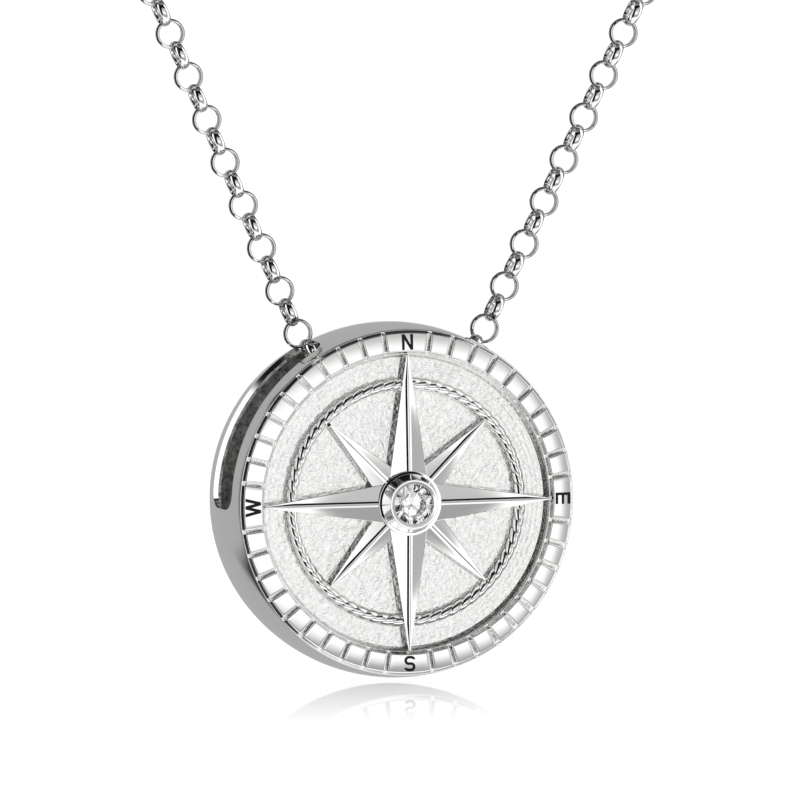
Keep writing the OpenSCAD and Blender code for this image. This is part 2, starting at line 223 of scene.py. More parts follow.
def grid_faces(rows, columns, closed_rows=False, closed_columns=False):
    """Quads between rows of points, where rows and columns may close into rings."""
    faces = []
    for i in range(rows if closed_rows else rows - 1):
        n = (i + 1) % rows
        for k in range(columns if closed_columns else columns - 1):
            m = (k + 1) % columns
            faces.append((i * columns + k, n * columns + k, n * columns + m, i * columns + m))
    return faces


def bar_faces(rows, columns):
    """Faces of a bar with a flat underside and two ends, from its cross sections."""
    last = (rows - 1) * columns
    ends = [tuple(range(columns)), tuple(last + k for k in range(columns))]
    return grid_faces(rows, columns, closed_columns=True) + ends


def round_off(path, steps=4):
    """A path of (radius, height, fillet) with an arc of that fillet at each corner."""
    rounded = []
    for i, (r, z, fillet) in enumerate(path):
        here = Vector((r, z))
        if fillet == 0:
            rounded.append(here)
            continue
        before = Vector(path[i - 1][:2]) - here
        after = Vector(path[(i + 1) % len(path)][:2]) - here
        half = before.angle(after) / 2
        reach = min(fillet / math.tan(half), before.length * 0.49, after.length * 0.49)
        start, end = here + before.normalized() * reach, here + after.normalized() * reach
        for k in range(steps + 1):
            t = k / steps
            rounded.append(start * (1 - t) ** 2 + here * 2 * t * (1 - t) + end * t ** 2)
    return [tuple(p) for p in rounded]


def lathe(profile, segments):
    """Points and faces of a closed (radius, height) profile turned about the dial's axis."""
    points = [on_dial(r, 2 * math.pi * i / segments, z)
              for i in range(segments) for r, z in profile]
    return points, grid_faces(segments, len(profile), True, True)


def join(shapes):
    """Several shapes, each as points and faces, as one."""
    points, faces = [], []
    for shape_points, shape_faces in shapes:
        start = len(points)
        points += shape_points
        faces += [tuple(start + k for k in face) for face in shape_faces]
    return points, faces


# Materials

def add_node(tree, kind, inputs=None, links=None, **settings):
    """Adds a node with its settings, the values on its sockets and the links into it."""
    node = tree.nodes.new(kind)
    for key, value in settings.items():
        setattr(node, key, value)
    for key, value in (inputs or {}).items():
        node.inputs[key].default_value = value
    for key, source in (links or {}).items():
        tree.links.new(source, node.inputs[key])
    return node


def new_material(name):
    material = bpy.data.materials.new(name)
    material.use_nodes = True
    material.node_tree.nodes.clear()
    return material, material.node_tree


def add_output(tree, shader):
    add_node(tree, "ShaderNodeOutputMaterial", links={"Surface": shader.outputs[0]})


def opaque(rgb):
    return (rgb[0], rgb[1], rgb[2], 1.0)


def grain(tree, size, detail=2.0, roughness=0.5):
    """Noise whose grains are about this size across."""
    place = add_node(tree, "ShaderNodeTexCoord")
    return add_node(tree, "ShaderNodeTexNoise",
                    {"Scale": 1 / size, "Detail": detail, "Roughness": roughness},
                    {"Vector": place.outputs["Object"]})


def spread(tree, source, low, high):
    """Maps noise to a value between low and high."""
    return add_node(tree, "ShaderNodeMapRange",
                    {"From Min": 0.3, "From Max": 0.7, "To Min": low, "To Max": high},
                    {"Value": source.outputs["Fac"]})


def bumps(tree, source, strength, depth):
    """A skin raised by noise, up to this depth."""
    return add_node(tree, "ShaderNodeBump", {"Strength": strength, "Distance": depth},
                    {"Height": source.outputs["Fac"]})


def rhodium_plated_silver():
    # Polished on a wheel and plated: mirror bright, with faint haze and wiping marks
    material, tree = new_material("rhodium_plated_silver")
    haze = spread(tree, grain(tree, 1.6 * MM, 4.0), 0.05, 0.12)
    ripple = bumps(tree, grain(tree, 0.5 * MM), 0.04, 0.02 * MM)
    shader = add_node(tree, "ShaderNodeBsdfPrincipled",
                      {"Base Color": opaque(colours().silver), "Metallic": 1.0},
                      {"Roughness": haze.outputs[0], "Normal": ripple.outputs[0]})
    add_output(tree, shader)
    return material


def stippled_silver():
    # Cast floor, stippled with a fine punch: white and matte, with small dark and bright grains
    material, tree = new_material("stippled_silver")
    pits = bumps(tree, grain(tree, 0.2 * MM, 3.0, 0.6), 0.75, 0.04 * MM)
    rough = spread(tree, grain(tree, 0.3 * MM), 0.2, 0.32)
    shader = add_node(tree, "ShaderNodeBsdfPrincipled",
                      {"Base Color": opaque(colours().satin), "Metallic": 1.0},
                      {"Roughness": rough.outputs[0], "Normal": pits.outputs[0]})
    add_output(tree, shader)
    return material


def cast_silver():
    # Left as cast inside the case: a coarse sandy skin, dark with tarnish in its hollows
    material, tree = new_material("cast_silver")
    sand = grain(tree, 0.5 * MM, 5.0, 0.75)
    coarse = bumps(tree, sand, 0.9, 0.08 * MM)
    skin = add_node(tree, "ShaderNodeMix", data_type="RGBA")
    skin.inputs["A"].default_value = opaque(colours().tarnish)
    skin.inputs["B"].default_value = opaque(colours().inside)
    tree.links.new(spread(tree, sand, 0.0, 1.0).outputs[0], skin.inputs["Factor"])
    shader = add_node(tree, "ShaderNodeBsdfPrincipled", {"Metallic": 0.5, "Roughness": 0.5},
                      {"Base Color": skin.outputs["Result"], "Normal": coarse.outputs[0]})
    add_output(tree, shader)
    return material


def black_enamel():
    # Cold enamel run into the letters: black and slightly glossy, with a wavy skin
    material, tree = new_material("black_enamel")
    waves = bumps(tree, grain(tree, 0.2 * MM), 0.2, 0.02 * MM)
    shader = add_node(tree, "ShaderNodeBsdfPrincipled",
                      {"Base Color": opaque(colours().enamel), "Roughness": 0.35, "IOR": 1.5,
                       "Specular IOR Level": 0.2},
                      {"Normal": waves.outputs[0]})
    add_output(tree, shader)
    return material


def cubic_zirconia():
    # Cut and polished: clear, with the strong bending of light that makes it sparkle
    material, tree = new_material("cubic_zirconia")
    shader = add_node(tree, "ShaderNodeBsdfPrincipled",
                      {"Base Color": opaque(colours().stone), "Roughness": 0.0, "IOR": 2.17,
                       "Transmission Weight": 1.0})
    add_output(tree, shader)
    return material


def opal_acrylic():
    # White opal acrylic lit from below. Its polish fades towards the front, from 0.9 under the
    # middle of the case to none at dull_y, so the image that it mirrors is short.
    dull_y = -32 * MM
    material, tree = new_material("opal_acrylic")
    place = add_node(tree, "ShaderNodeTexCoord")
    axes = add_node(tree, "ShaderNodeSeparateXYZ", links={"Vector": place.outputs["Object"]})
    polish = add_node(tree, "ShaderNodeMapRange",
                      {"From Min": dull_y, "From Max": 0.0, "To Min": 0.0, "To Max": 0.9},
                      {"Value": axes.outputs["Y"]})
    shader = add_node(tree, "ShaderNodeBsdfPrincipled",
                      {"Base Color": opaque(colours().floor), "Roughness": 0.9,
                       "Specular IOR Level": 0.0, "Emission Color": (1, 1, 1, 1),
                       "Emission Strength": 0.7, "Coat Roughness": 0.03, "Coat IOR": 1.5},
                      {"Coat Weight": polish.outputs[0]})
    add_output(tree, shader)
    return material


# The material of each slot
SLOTS = {
    "polished_silver": rhodium_plated_silver,
    "matte_silver": stippled_silver,
    "enamel": black_enamel,
    "stone": cubic_zirconia,
}


def material_of(maker):
    """The material that this function makes, made when it is first asked for."""
    return bpy.data.materials.get(maker.__name__) or maker()


# Case

def ledge_z():
    return FACE_Z - sizes().pad_height


def rim_r():
    return CASE_R - sizes().bulge


def pad_radii():
    """Inner and outer radius of the pads."""
    s = sizes()
    return rim_r() - s.rim_width + s.pad_inset, rim_r() - s.pad_inset


def case_profile():
    """Closed section of the case: back, barrel-shaped band, rim and the hollow inside."""
    s = sizes()
    lip, low = ledge_z(), BACK_Z
    middle, half = (lip + low) / 2, (lip - low) / 2
    radius = (half ** 2 + s.bulge ** 2) / (2 * s.bulge)

    def band_r(z, inset):
        return math.sqrt((radius - inset) ** 2 - (z - middle) ** 2) + CASE_R - radius

    def arc(start, end, steps, inset):
        """The band from one height to another, without its ends."""
        heights = [start + (end - start) * i / steps for i in range(1, steps)]
        return [(band_r(z, inset), z, 0) for z in heights]

    rim_thickness, lean, skirt_width, skirt_depth = 0.6 * MM, 0.25 * MM, 0.5 * MM, 0.9 * MM
    back_round, rim_round, skirt_round, inner_round = 0.35 * MM, 0.08 * MM, 0.05 * MM, 0.1 * MM
    axis = 0.02 * MM
    top, bottom = lip - rim_thickness, low + s.back
    well = rim_r() - s.rim_width
    under = FLOOR_Z - skirt_depth
    # Radius, height and fillet: up the outside, over the rim, and back down inside the hollow
    path = [
        (axis, low, 0), (rim_r(), low, back_round), *arc(low, lip, 14, 0),
        (rim_r(), lip, rim_round), (well, lip, rim_round),
        (well - lean, FLOOR_Z, 0), (well - lean, under, skirt_round),
        (well + skirt_width, under, skirt_round), (well + skirt_width, top, inner_round),
        (band_r(top, s.wall), top, inner_round), *arc(top, bottom, 10, s.wall),
        (band_r(bottom, s.wall), bottom, 0.2 * MM), (axis, bottom, 0),
    ]
    return round_off(path)


def slot_outline(middle_r):
    """One slot laid flat, as points along the band and across it, with round corners."""
    s = sizes()
    half, corner = s.slot_width / 2, s.slot_corner
    upper, lower = s.slot_top * middle_r + corner, s.slot_bottom * middle_r - corner
    front, back = half - corner, corner - half
    bends, spacing = 8, 0.3 * MM
    centres = ((lower, front), (upper, front), (upper, back), (lower, back))
    rounded = []
    for quarter, (at, z) in enumerate(centres):
        for k in range(bends + 1):
            a = math.pi / 2 * (quarter + k / bends)
            rounded.append((at + corner * math.cos(a), z + corner * math.sin(a)))
    outline = []
    for (a, z), (b, y) in zip(rounded, rounded[1:] + rounded[:1]):
        steps = max(1, int(math.hypot(b - a, y - z) / spacing))
        outline += [(a + (b - a) * k / steps, z + (y - z) * k / steps) for k in range(steps)]
    return outline


def slot_cutter(side):
    """A block bent round the band that cuts one slot and bevels its outer edge."""
    s = sizes()
    half, middle_r = s.slot_width / 2, CASE_R - s.wall / 2
    outline = slot_outline(middle_r)
    bevel, beyond = 0.36 * MM, 0.6 * MM
    # Share of the bevel that the front side has
    front_bevel = 0.3
    # Radius of each level of the block, and how far its outline is spread there
    levels = ((CASE_R - s.wall - beyond, 0.0), (CASE_R - bevel, 0.0),
              (CASE_R + beyond, bevel + beyond))
    points = []
    for r, flare in levels:
        for along, z in outline:
            # The front side is nearer the rim than in the solid, as the photo shows it
            forward = s.slot_forward * (z / half + 1) / 2
            z += forward + flare * min(z / half, front_bevel)
            points.append(on_dial(r, side * along / middle_r, z))
    caps = strip_caps(outline)
    outer = (len(levels) - 1) * len(outline)
    faces = grid_faces(len(levels), len(outline), closed_columns=True)
    return points, faces + caps + [tuple(outer + k for k in face) for face in caps]


def strip_caps(outline):
    """Triangles between the two long sides of an outline, so that its bent face stays smooth."""
    order = sorted(range(len(outline)), key=lambda k: outline[k][0])
    first, last = order[0], order[-1]

    def walk(step):
        """The points from the last to the first, one way round."""
        way = [last]
        while way[-1] != first:
            way.append((way[-1] + step) % len(outline))
        return way

    one, other = walk(1), walk(-1)
    faces, i, j = [], 0, 0
    while i < len(one) - 1 or j < len(other) - 1:
        ahead = j >= len(other) - 1 or (
            i < len(one) - 1 and outline[one[i + 1]][0] >= outline[other[j + 1]][0])
        face = (one[i], one[i + 1], other[j]) if ahead else (one[i], other[j + 1], other[j])
        if len(set(face)) == 3:
            faces.append(face)
        i, j = (i + 1, j) if ahead else (i, j + 1)
    return faces


def cut(mesh, cutters):
    """The mesh with the cutters, given as points and faces in the frame of the part, taken away."""
    body = add_object("body", mesh)
    used = [body]
    for points, faces in cutters:
        shape = new_mesh("cutter", points, faces)
        turn_outwards(shape)
        used.append(add_object("cutter", shape))
        step = body.modifiers.new("cut", "BOOLEAN")
        step.operation, step.solver, step.object = "DIFFERENCE", "EXACT", used[-1]
    bpy.context.view_layer.update()
    shown = body.evaluated_get(bpy.context.evaluated_depsgraph_get())
    result = bpy.data.meshes.new_from_object(shown)
    for item in used:
        bpy.data.objects.remove(item)
    return result


def build_case():
    s = sizes()
    points, faces = lathe(case_profile(), 240)
    mesh = new_mesh("case_shell", [stand(p) for p in points], faces)
    turn_outwards(mesh, merged=0.001 * MM)
    cutters = [([stand(p) for p in points], faces)
               for points, faces in (slot_cutter(1), slot_cutter(-1))]
    shell = dress("case_shell", cut(mesh, cutters), "polished_silver", 30, ("case",))
    shell.data.materials.append(material_of(cast_silver))
    # The faces that look into the hollow are left as cast
    hollow_r = CASE_R - s.wall + 0.02 * MM
    lowest, highest = BACK_Z + 0.5 * s.back, ledge_z() - 0.5 * MM
    for face in shell.data.polygons:
        x, y, z = face.center
        r = math.hypot(x, z - CENTRE_Z)
        outwards = (x * face.normal.x + (z - CENTRE_Z) * face.normal.z) / max(r, 1e-9)
        # Front view height is minus y in the frame of the part
        if lowest < -y < highest and r < hollow_r and outwards <= 0.5:
            face.material_index = 1


def pad_rows(reach, edge, full, slope=0.0):
    """Places across a pad and how far its face drops there: walls, rounded edges and the middle."""
    steps = 3
    rows = [(-reach - slope, full), (-reach, edge)]
    for k in range(1, steps + 1):
        a = math.pi / 2 * k / steps
        rows.append((-reach + edge * (1 - math.cos(a)), edge * (1 - math.sin(a))))
    middle = [(reach * t, 0.0) for t in (-0.72, -0.4, 0.0, 0.4, 0.72)]
    return rows + middle + [(-x, drop) for x, drop in reversed(rows)]


def pad_shape(clock, half_angle):
    """One raised pad of the rim, with rounded edges and a slightly hollow face."""
    s = sizes()
    inner, outer = pad_radii()
    middle, half_width = (inner + outer) / 2, (outer - inner) / 2
    full, edge, wall_slope = s.pad_height + SINK, 0.09 * MM, 0.15 * MM
    # How far the face falls outwards, and to both sides
    fall_out, fall_side = 0.12 * MM, 0.008 * MM
    reach = half_angle * middle - s.pad_gap / 2
    across = pad_rows(reach, edge, full)
    along = pad_rows(half_width, edge, full, wall_slope)
    points = []
    for out, out_drop in along:
        r = middle + out
        # Sides of a groove run parallel, so a pad is wider at its outer edge
        stretch = (half_angle * r - s.pad_gap / 2) / reach
        for side, side_drop in across:
            drop = max(out_drop, side_drop, min(out_drop + side_drop, edge))
            fall = fall_out * ((out + half_width) / (2 * half_width)) ** 2
            fall += fall_side * (side / (half_angle * middle)) ** 2
            z = FACE_Z - drop - fall * (1 - drop / full)
            points.append(turn(on_dial(r, side * stretch / r, z), clock))
    wide, high = len(across), len(along)
    last = (high - 1) * wide
    foot = [*range(wide), *(i * wide + wide - 1 for i in range(1, high)),
            *(last + k for k in range(wide - 2, -1, -1)),
            *(i * wide for i in range(high - 2, 0, -1))]
    return points, grid_faces(high, wide) + [tuple(foot)]


def groove_floor(clock):
    """Shallow striated floor between two pads, with a wedge at each end."""
    s = sizes()
    inner, outer = pad_radii()
    low, top = ledge_z() - SINK, FACE_Z - 0.17 * MM
    half, tip, shoulder = s.pad_gap / 2 + SINK, 0.11 * MM, 0.04 * MM
    hollow, stria = 0.04 * MM, 0.018 * MM
    end_z = top - 0.05 * MM
    lines, steps = 8, 12
    # Radius, height and share of the width of each cross section
    rows = [(inner - tip, low, 0.2), (inner + shoulder, end_z, 1.0)]
    for k in range(1, steps):
        share = k / steps
        rows.append((inner + (outer - inner) * share, top - hollow * math.sin(math.pi * share), 1.0))
    rows += [(outer - shoulder, end_z, 1.0), (outer + tip, low, 0.2)]
    points = []
    for r, z, share in rows:
        reach = half * share
        lift = stria if z > low else 0.0
        section = [(reach * (2 * k / lines - 1), r, z + lift * (k % 2)) for k in range(lines + 1)]
        points += [turn(p, clock) for p in [(-reach, r, low), *section, (reach, r, low)]]
    return points, bar_faces(len(rows), lines + 3)


def letter_cutter(name):
    """A letter, stretched forwards so that it opens the pocket above the enamel."""
    low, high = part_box(name)
    middle_y, front_y = (low[1] + high[1]) / 2, low[1] - 0.3 * MM
    loose = bmesh.new()
    loose.from_mesh(NODES[name].data)
    bmesh.ops.remove_doubles(loose, verts=loose.verts, dist=0.0005 * MM)
    points = [(v.co.x, high[1] if v.co.y > middle_y else front_y, v.co.z) for v in loose.verts]
    faces = [tuple(v.index for v in face.verts) for face in loose.faces]
    loose.free()
    return points, faces


def build_pads():
    quarter = sizes().quarter_pads
    step = math.pi / 2 / quarter
    single, lettered, grooves = [], [], []
    for i in range(4 * quarter):
        place = i % quarter
        if place == 0:
            # A pad with a letter takes up two divisions
            lettered.append(pad_shape(i * step, step))
            continue
        grooves.append(groove_floor(i * step))
        if place != quarter - 1:
            single.append(pad_shape((i + 0.5) * step, step / 2))
    make_piece("rim_pads", join(single), "polished_silver", 50)
    make_piece("groove_floors", join(grooves), "matte_silver", 30)
    for name, (points, faces) in zip(LETTERS, lettered):
        mesh = new_mesh("letter_pad", [stand(p) for p in points], faces)
        turn_outwards(mesh)
        dress("pad_" + name, cut(mesh, [letter_cutter(name)]), "polished_silver", 50)


# Dial

def build_floor():
    """Stippled floor: rings of points lifted by noise, with faint turned lines outside the rope."""
    hub_r, well, rope_r = 1.9 * MM, WELL_R + 0.05 * MM, ROPE_HIGH[0]
    fine, fine_lift = 0.22 * MM, 0.02 * MM
    coarse, coarse_lift = 0.6 * MM, 0.012 * MM
    # The turned lines are plainest at the upper right
    line_gap, line_lift, plain_lift, plain_clock = 0.34 * MM, 0.003 * MM, 0.008 * MM, 1.1
    rings, around = 96, 720
    points = []
    for i in range(rings + 1):
        r = hub_r + (well - hub_r) * i / rings
        for k in range(around):
            clock = 2 * math.pi * k / around
            x, y, z = on_dial(r, clock, FLOOR_Z)
            z += noise.noise(Vector((x, y, 0)) / fine) * fine_lift
            z += noise.noise(Vector((x, y, 7)) / coarse) * coarse_lift
            if r > rope_r:
                lift = line_lift + plain_lift * max(math.cos(clock - plain_clock), 0)
                z += math.sin(r / line_gap * 2 * math.pi) * lift
            points.append((x, y, z))
    faces = grid_faces(rings + 1, around, closed_columns=True)
    make_piece("dial_floor", (points, faces), "matte_silver", 180, ("dial_plate",))


def rope_strand(start_turn):
    """One strand of the rope, wound round the ring's middle line."""
    s = sizes()
    ring_r, middle_z = ROPE_HIGH[0] - s.rope_width / 2, ROPE_TOP_Z - s.rope_width / 2
    strand_r = s.rope_width * 0.4
    swing = s.rope_width / 2 - strand_r
    turns = s.rope_beads / 2
    slant, crest = 0.35, 0.04 * MM
    around, sides = s.rope_beads * 8, 10
    centres = []
    for i in range(around):
        clock = 2 * math.pi * i / around
        twist = start_turn - turns * clock
        centres.append(Vector(on_dial(ring_r + swing * math.cos(twist), clock,
                                      middle_z + swing * math.sin(twist))))
    points = []
    for i, centre in enumerate(centres):
        ahead = (centres[(i + 1) % around] - centres[i - 1]).normalized()
        side = ahead.cross(Vector((0, 0, 1))).normalized()
        up = side.cross(ahead)
        for k in range(sides):
            t = 2 * math.pi * k / sides
            point = centre + strand_r * (side * math.cos(t) + up * math.sin(t))
            # Both flanks fall away from a soft crest
            off = math.hypot(point.x, point.y) - ring_r
            point.z -= slant * (math.hypot(off, crest) - crest)
            points.append(tuple(point))
    return points, grid_faces(around, sides, True, True)


def build_rope():
    strands = join([rope_strand(0), rope_strand(math.pi)])
    make_piece("rope_strands", strands, "polished_silver", 60, ("rope_ring",))


def ray_shape(clock, tip_r, half_width, edge_z, rise):
    """One ray: steep sides, narrow bevels, and two hollow faces that rise to a thin ridge."""
    s = sizes()
    tip, bevel = 0.08 * MM, 0.035 * MM
    ridge, ridge_rise = 0.2 * MM, 0.1 * MM
    start, steps = SETTING_R * 0.8, 28
    points = []
    for i in range(steps + 1):
        y = start + (tip_r - start) * i / steps
        share = (tip_r - y) / (tip_r - SETTING_R)
        half = tip + (half_width - tip) * share
        # Near the tip the bevel and the ridge get narrower with the ray
        flat = half - min(bevel, half * 0.3)
        bead = min(ridge, flat * 0.6)
        bead_rise = ridge_rise * bead / ridge
        shoulder = edge_z + max(rise * share - bead_rise, 0)
        right = [(0.0, shoulder + bead_rise), (0.35 * bead, shoulder + bead_rise * 0.86)]
        right += [(bead + (flat - bead) * t, shoulder + (edge_z - shoulder) * t ** 0.9)
                  for t in (0.0, 0.33, 0.66, 1.0)]
        right += [(half, edge_z - bevel), (half + s.ray_draft, FLOOR_Z - SINK)]
        row = [(-x, y, z) for x, z in reversed(right[1:])] + [(x, y, z) for x, z in right]
        points += [turn(p, clock) for p in row]
    return points, bar_faces(steps + 1, len(points) // (steps + 1))


def build_rose():
    s = sizes()
    long_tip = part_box("compass_rose")[1][0]
    short_tip = ROPE_HIGH[0] - 0.9 * MM
    rays = []
    for quarter in range(4):
        clock = quarter * math.pi / 2
        rays.append(ray_shape(clock + math.pi / 4, short_tip, s.short_ray, FACE_Z - s.short_drop,
                              s.short_rise))
        rays.append(ray_shape(clock, long_tip, s.long_ray, FACE_Z, s.long_rise))
    make_piece("rose_rays", join(rays), "polished_silver", 12, ("compass_rose",))


# Setting and stone

def build_setting():
    """Turned setting: base ring, sloping wall, bright ring and a lip over the stone's edge."""
    top, foot, shoulder = SETTING_TOP_Z, FLOOR_Z - SINK, FACE_Z + 0.4 * MM
    ring, seat, lip = STONE_R + 0.27 * MM, STONE_R + 0.02 * MM, STONE_R - 0.08 * MM
    hole_low, hole_high = 1.2 * MM, 0.9 * MM
    # Radius, height and fillet, up the outside and then down through the hole
    path = [
        (hole_low, foot, 0),
        (SETTING_R, foot, 0),
        (SETTING_R, shoulder, 0.12 * MM),
        (SETTING_R - 0.2 * MM, shoulder + 0.1 * MM, 0.04 * MM),
        (ring + 0.03 * MM, top - 0.15 * MM, 0.06 * MM),
        (ring - 0.03 * MM, top, 0.06 * MM),
        (seat + 0.1 * MM, top, 0.02 * MM),
        (lip, top - 0.05 * MM, 0.02 * MM),
        (lip - 0.05 * MM, top - 0.32 * MM, 0.02 * MM),
        (seat, top - 0.44 * MM, 0),
        (seat, top - 0.5 * MM, 0.03 * MM),
        (STONE_R * 0.5, top - 1.45 * MM, 0),
        (hole_high, top - 1.6 * MM, 0),
    ]
    make_piece("stone_setting", lathe(round_off(path, 6), 128), "polished_silver", 40, ("setting",))


def build_stone():
    """Round brilliant, cut from a short cylinder by the plane of each facet."""
    top = -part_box("stone")[0][1]
    crown, upper, star = math.radians(34.5), math.radians(37.5), math.radians(22)
    main, lower = math.radians(40.75), math.radians(41.2)
    table_r, girdle = 0.57 * STONE_R, 0.03 * 2 * STONE_R
    # The stars stand this much outside the table's corners
    star_r = table_r * 1.007
    girdle_top = top - (STONE_R - table_r) * math.tan(crown)
    girdle_low = girdle_top - girdle
    depth = top - girdle_low + STONE_R * 2
    loose = bmesh.new()
    bmesh.ops.create_cone(loose, cap_ends=True, segments=64, radius1=STONE_R, radius2=STONE_R,
                          depth=depth)
    bmesh.ops.translate(loose, verts=loose.verts, vec=(0, 0, top - depth / 2))

    def grind(clock, lean, radius, height):
        """Takes off what is outside a plane that leans up, or down where lean is below nought."""
        normal = Vector(on_dial(math.sin(abs(lean)), clock, math.copysign(math.cos(lean), lean)))
        result = bmesh.ops.bisect_plane(
            loose, geom=loose.verts[:] + loose.edges[:] + loose.faces[:],
            plane_co=on_dial(radius, clock, height), plane_no=normal, clear_outer=True, dist=1e-9)
        edges = [e for e in result["geom_cut"] if isinstance(e, bmesh.types.BMEdge)]
        if edges:
            bmesh.ops.contextual_create(loose, geom=edges)

    for i in range(8):
        clock = i * math.pi / 4
        grind(clock, crown, STONE_R, girdle_top)
        grind(clock + math.pi / 8, star, star_r, top)
        grind(clock, -main, STONE_R, girdle_low)
        for side in (-1, 1):
            grind(clock + side * math.pi / 16, upper, STONE_R, girdle_top)
            grind(clock + side * math.pi / 16, -lower, STONE_R, girdle_low)
    for vertex in loose.verts:
        vertex.co = stand(vertex.co)
    mesh = bpy.data.meshes.new("brilliant")
    loose.to_mesh(mesh)
    loose.free()
    dress("brilliant", mesh, "stone", 1, ("stone",))


# Chain

def links_of(node):
    """Centre and axes of each link of a node, from its loose parts."""
    loose = bmesh.new()
    loose.from_mesh(NODES[node].data)
    bmesh.ops.remove_doubles(loose, verts=loose.verts, dist=0.001 * MM)
    seen, links = set(), []
    for first in loose.verts:
        if first in seen:
            continue
        stack, part = [first], []
        seen.add(first)
        while stack:
            vertex = stack.pop()
            part.append(vertex.co[:])
            for edge in vertex.link_edges:
                other = edge.other_vert(vertex)
                if other not in seen:
                    seen.add(other)
                    stack.append(other)
        part = np.array(part)
        centre = part.mean(axis=0)
        # Two axes across the link and, last, the one through its hole
        axes = np.linalg.svd(part - centre, full_matrices=False)[2]
        links.append((centre, axes))
    loose.free()
    return links


def link_section():
    """Closed (radius, height) section of a link's wire: domed outside and rounded inside."""
    s = sizes()
    half, outer, inner = s.wire_width / 2, s.link_diameter / 2, s.link_hole / 2
    dome, edge = 0.13 * MM, 0.03 * MM
    upper = [(outer, 0.0), (outer - dome * 0.12, half * 0.35), (outer - dome * 0.42, half * 0.66),
             (outer - dome, half * 0.93), (outer - dome - edge, half), (inner + edge * 2, half),
             (inner, half * 0.82)]
    lower = [(r, -z) for r, z in reversed(upper[1:])]
    return upper + [(inner, 0.0)] + lower


def build_chain():
    ring, faces = lathe(link_section(), 30)
    # The seam of a link lies on its first axis
    ring = np.array(ring)[:, (1, 0, 2)]
    links = [((ring @ axes + centre).tolist(), faces) for centre, axes in links_of("chain")]
    mesh = new_mesh("rolo_links", *join(links))
    dress("rolo_links", mesh, "polished_silver", 50, ("chain",), "root")


# Stage

# Panels of the light tent: the middle, half width and half height of each and its soft edge in
# degrees, and its brightness. Azimuth 0 is straight in front of the dial and grows to its right.
# A later row covers the earlier ones.
PANELS = (
    # name, azimuth, elevation, half width, half height, edge, brightness
    ("behind", 180, 0, 75, 60, 25, 0.45),
    ("roof", 0, 90, 180, 22, 15, 0.12),
    ("floor", 0, -90, 180, 30, 15, 1.1),
    ("black above", -20, 46, 130, 18, 7, 0.01),
    ("black behind left", -111, 5, 25, 60, 8, 0.02),
    ("black below left", -110, -38, 45, 20, 10, 0.05),
    ("grey behind right", 118, 0, 22, 60, 10, 0.2),
    ("black high behind", 170, 57, 62, 16, 8, 0.03),
    ("black left", -37, 15, 22, 45, 7, 0.01),
    ("white left", -73, 0, 10, 45, 8, 1.3),
    ("white right", 72, 5, 20, 50, 10, 1.5),
    ("white front", 5, -2, 24, 17, 8, 1.25),
    ("grey above dial", 24, 19, 34, 13, 14, 0.62),
    ("grey right", 43, -6, 13, 22, 16, 0.5),
    ("grey below", 15, -28, 36, 12, 14, 0.42),
    ("white below", 15, -52, 60, 12, 6, 1.4),
    ("window behind", 164, 4, 7, 6, 4, 1.15),
)
PANEL_BASE = 0.6


def tent_light(direction):
    """Brightness of the tent in a direction from the case."""
    azimuth = math.degrees(math.atan2(direction.x, -direction.y))
    elevation = math.degrees(math.asin(direction.z))
    value = PANEL_BASE
    for name, middle, height, half_width, half_height, edge, brightness in PANELS:
        across = abs((azimuth - middle + 180) % 360 - 180) - half_width
        over = abs(elevation - height) - half_height
        share = min(max(0.5 - max(across, over) / edge, 0.0), 1.0)
        share = share * share * (3 - 2 * share)
        value += (brightness - value) * share
    return value


def build_tent():
    """A sphere of cloth in bright and dark panels, seen only mirrored and through the stone."""
    mesh = bpy.data.meshes.new("light_tent")
    loose = bmesh.new()
    bmesh.ops.create_uvsphere(loose, u_segments=240, v_segments=120, radius=5.0)
    loose.to_mesh(mesh)
    loose.free()
    light = mesh.color_attributes.new("light", "FLOAT_COLOR", "POINT")
    for vertex, entry in zip(mesh.vertices, light.data):
        value = tent_light(vertex.co.normalized())
        entry.color = (value, value, value, 1.0)
    # Translucent cloth, lit from outside, in white, grey and black panels
    cloth, tree = new_material("translucent_cloth")
    shade = add_node(tree, "ShaderNodeVertexColor", layer_name="light")
    add_output(tree, add_node(tree, "ShaderNodeEmission", {"Strength": 1.0},
                              {"Color": shade.outputs["Color"]}))
    cloth.cycles.emission_sampling = "NONE"
    mesh.materials.append(cloth)
    tent = add_object("light_tent", mesh)
    tent.location = (0, 0, CENTRE_Z)
    tent.visible_camera = tent.visible_diffuse = tent.visible_shadow = False


def build_ground():
    """A pale floor, lit from below, a little under the case."""
    z, reach = CASE_LOW[2] - 0.28 * MM, 4.5
    corners = [(-reach, -reach, z), (reach, -reach, z), (reach, reach, z), (-reach, reach, z)]
    mesh = new_mesh("floor", corners, [(0, 1, 2, 3)])
    mesh.materials.append(material_of(opal_acrylic))
    ground = add_object("floor", mesh)
    ground.visible_glossy = False


def build_world():
    """A white backdrop on all sides."""
    world = bpy.data.worlds.new("studio")
    world.use_nodes = True
    tree = world.node_tree
    tree.nodes.clear()
    backdrop = add_node(tree, "ShaderNodeBackground", {"Color": (1, 1, 1, 1), "Strength": 1.45})
    add_node(tree, "ShaderNodeOutputWorld", links={"Surface": backdrop.outputs[0]})
    world.cycles.sampling_method = "NONE"
    bpy.context.scene.world = world
    bpy.context.scene.view_settings.view_transform = "Standard"


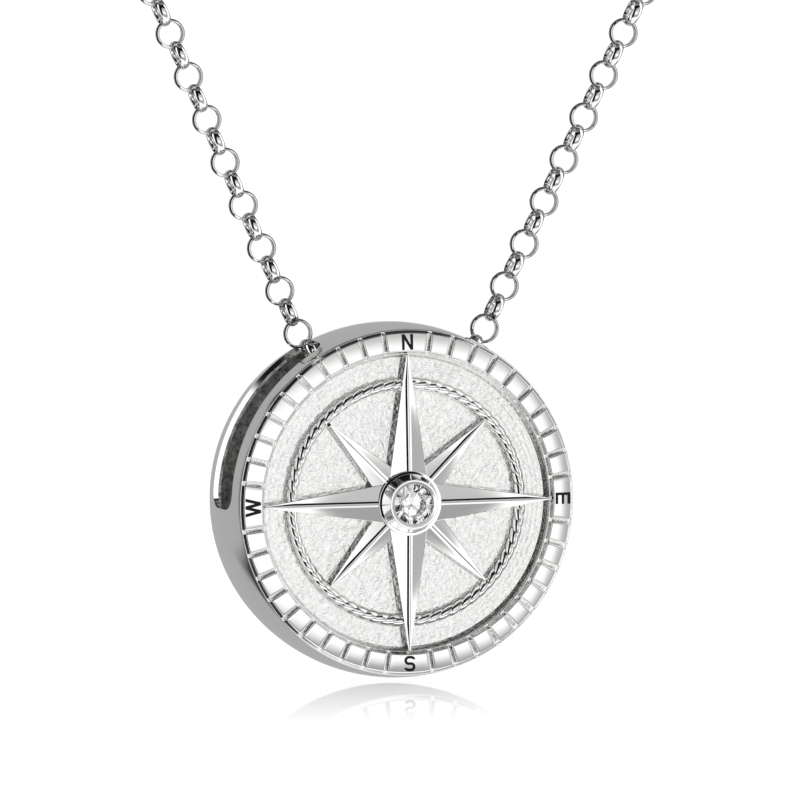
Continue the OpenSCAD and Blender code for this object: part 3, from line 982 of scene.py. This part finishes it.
def build_camera():
    """The photo's camera: to the left of the pendant, a little above it and slightly rolled."""
    azimuth, elevation, roll = math.radians(-16.3), math.radians(4.28), math.radians(-0.42)
    # Side of one picture element of the square frame, at the pendant
    pixel, frame_pixels = 0.0725 * MM, 800
    distance, sensor = 0.9, 36.0
    target = Vector((0.62 * MM, 0, CENTRE_Z + 7.15 * MM))
    away = Vector((math.sin(azimuth) * math.cos(elevation),
                   -math.cos(azimuth) * math.cos(elevation), math.sin(elevation)))
    data = bpy.data.cameras.new("camera")
    data.sensor_width = sensor
    data.lens = sensor * distance / (frame_pixels * pixel)
    camera = add_object("camera", data)
    camera.location = target + away * distance
    camera.rotation_mode = "QUATERNION"
    look = (-away).to_track_quat("-Z", "Y")
    camera.rotation_quaternion = look @ Matrix.Rotation(roll, 3, "Z").to_quaternion()
    bpy.context.scene.camera = camera


# Operators

class PENDANT_OT_case(bpy.types.Operator):
    """Builds the case with its band, slots, rim and pads"""

    bl_idname = "pendant.case"
    bl_label = "Case"

    def execute(self, context):
        build_case()
        build_pads()
        for name in LETTERS:
            paint(name, "enamel")
        return {"FINISHED"}


class PENDANT_OT_dial(bpy.types.Operator):
    """Builds the stippled floor, the rope and the rays"""

    bl_idname = "pendant.dial"
    bl_label = "Dial"

    def execute(self, context):
        build_floor()
        build_rope()
        build_rose()
        return {"FINISHED"}


class PENDANT_OT_stone(bpy.types.Operator):
    """Builds the setting and the cut stone"""

    bl_idname = "pendant.stone"
    bl_label = "Setting and stone"

    def execute(self, context):
        build_setting()
        build_stone()
        return {"FINISHED"}


class PENDANT_OT_chain(bpy.types.Operator):
    """Builds the links of the chain and finishes the clasp"""

    bl_idname = "pendant.chain"
    bl_label = "Chain and clasp"

    def execute(self, context):
        build_chain()
        paint("clasp", "polished_silver")
        return {"FINISHED"}


class PENDANT_OT_stage(bpy.types.Operator):
    """Sets up the floor, the backdrop, the light tent and the camera"""

    bl_idname = "pendant.stage"
    bl_label = "Stage"

    def execute(self, context):
        build_ground()
        build_world()
        build_tent()
        build_camera()
        return {"FINISHED"}


class PENDANT_PT_panel(bpy.types.Panel):
    """Lists the sizes, the colours and the pieces"""

    bl_label = "Compass pendant"
    bl_idname = "PENDANT_PT_panel"
    bl_space_type = "VIEW_3D"
    bl_region_type = "UI"
    bl_category = "Pendant"

    def draw(self, context):
        layout = self.layout
        for group in (context.scene.pendant_sizes, context.scene.pendant_colours):
            box = layout.box()
            for key in group.__annotations__:
                box.prop(group, key)
        for operator in OPERATORS:
            layout.operator(operator.bl_idname)


OPERATORS = (PENDANT_OT_case, PENDANT_OT_dial, PENDANT_OT_stone, PENDANT_OT_chain, PENDANT_OT_stage)
CLASSES = (PendantSizes, PendantColours, *OPERATORS, PENDANT_PT_panel)


def register():
    for item in CLASSES:
        bpy.utils.register_class(item)
    bpy.types.Scene.pendant_sizes = PointerProperty(type=PendantSizes)
    bpy.types.Scene.pendant_colours = PointerProperty(type=PendantColours)


def unregister():
    del bpy.types.Scene.pendant_colours
    del bpy.types.Scene.pendant_sizes
    for item in reversed(CLASSES):
        bpy.utils.unregister_class(item)


def main():
    register()
    bpy.ops.pendant.case()
    bpy.ops.pendant.dial()
    bpy.ops.pendant.stone()
    bpy.ops.pendant.chain()
    bpy.ops.pendant.stage()
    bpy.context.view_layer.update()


if __name__ == "__main__":
    main()
